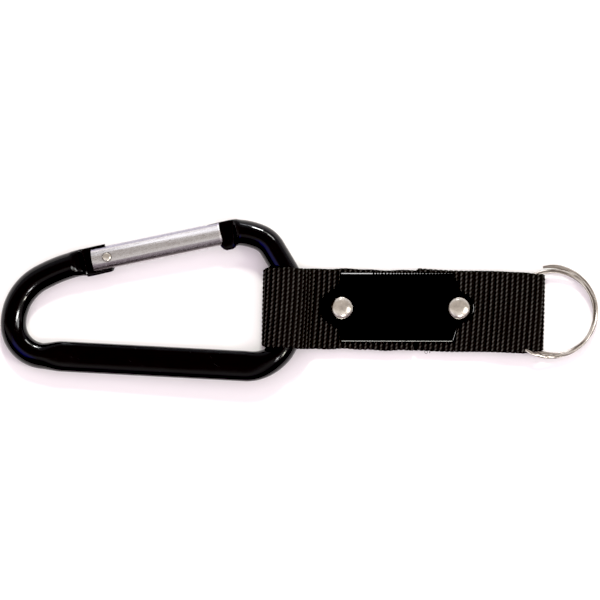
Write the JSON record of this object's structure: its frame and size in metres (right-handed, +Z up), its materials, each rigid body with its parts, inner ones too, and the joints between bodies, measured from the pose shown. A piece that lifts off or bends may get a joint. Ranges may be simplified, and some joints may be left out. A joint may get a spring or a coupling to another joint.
{
  "type": "carabiner keyring",
  "caption": "Snap hook with a sprung gate, joined to a split key ring by a short riveted webbing strap that carries a name plate.",
  "frame": {"origin": "on the surface the keyring lies on, under the middle of its box", "axes": "+X along the strap towards the split ring, +Y towards the gate's side, +Z up out of the name plate"},
  "size_m": [0.1617, 0.0441, 0.0121],
  "materials": {
    "black_aluminium": "gloss black anodised",
    "gate_aluminium": "bare, finely turned and scuffed",
    "webbing": "ribbed plain-weave polypropylene",
    "plate_black": "gloss black",
    "rivet_nickel": "nickel plated",
    "ring_nickel": "nickel plated steel",
    "spring_steel": "drawn wire"
  },
  "bodies": {
    "strap": {"strap_lower_layer": "webbing", "strap_end_left": "webbing", "strap_end_right": "webbing", "name_plate": "plate_black", "rivet_cap_left": "rivet_nickel", "rivet_cap_right": "rivet_nickel", "rivet_post_left": "rivet_nickel", "rivet_post_right": "rivet_nickel"},
    "carabiner_loop": {"strap_carabiner_loop": "webbing"},
    "carabiner": {"carabiner_body": "black_aluminium"},
    "gate": {"gate_tube": "gate_aluminium", "gate_rivet": "rivet_nickel", "gate_spring": "spring_steel"},
    "plunger": {"gate_plunger": "spring_steel"},
    "ring_loop": {"strap_ring_loop": "webbing"},
    "ring": {"split_ring": "ring_nickel"}
  },
  "joints": [
    {"name": "strap_flex_carabiner", "type": "hinge", "parent": "strap", "child": "carabiner_loop", "pos_m": [0.00436, 0, 0.0024], "axis": [0, 1, 0], "range_deg": [-60, 60]},
    {"name": "carabiner_swing", "type": "hinge", "parent": "carabiner_loop", "child": "carabiner", "pos_m": [-0.00414, 0, 0.00605], "axis": [0, 1, 0], "range_deg": [-90, 90]},
    {"name": "gate_hinge", "type": "hinge", "parent": "carabiner", "child": "gate", "pos_m": [-0.05222, 0.011, 0.00438], "axis": [0.0348, 0, -0.9994], "range_deg": [0, 40], "stiffness_Nm_per_rad": 0.03, "springref_deg": -40.11},
    {"name": "plunger_slide", "type": "slide", "parent": "gate", "child": "plunger", "axis": [0.9742, 0.2232, 0.0339], "range_m": [0, 0.0018], "deforming": ["gate_spring"]},
    {"name": "strap_flex_ring", "type": "hinge", "parent": "strap", "child": "ring_loop", "pos_m": [0.04936, 0, 0.0024], "axis": [0, -1, 0], "range_deg": [-60, 60]},
    {"name": "ring_spin", "type": "hinge", "parent": "ring_loop", "child": "ring", "pos_m": [0.06836, -0.00143, 0.0024], "axis": [0, 0, 1], "continuous": true}
  ],
  "couplings": [
    {"joint": "plunger_slide", "follows": "gate_hinge", "m_per_rad": 0.0023}
  ]
}
